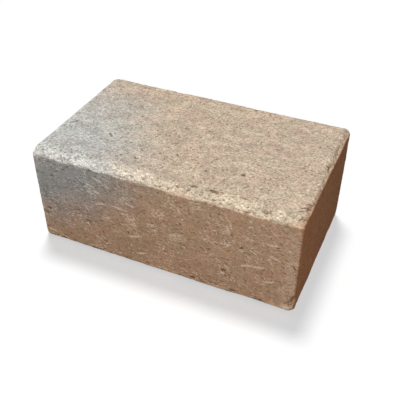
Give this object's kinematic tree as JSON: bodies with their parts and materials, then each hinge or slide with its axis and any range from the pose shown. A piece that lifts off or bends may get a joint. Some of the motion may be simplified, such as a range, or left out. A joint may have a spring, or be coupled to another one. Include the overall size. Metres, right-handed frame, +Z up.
{
  "type": "concrete wall block",
  "caption": "Solid concrete block for stacked garden and retaining walls: a plain cuboid with tumbled, rounded and chipped arrises and flat beds and ends.",
  "frame": {"origin": "centre of the underside, on the bed that the block lies on", "axes": "+X along the block's length, -Y out of its front face, +Z up"},
  "size_m": [0.25, 0.15, 0.1],
  "materials": {
    "concrete": "rough, sandy dry-cast concrete, brown blended to grey"
  },
  "bodies": {
    "root": {"wall_block": "concrete"}
  },
  "joints": []
}
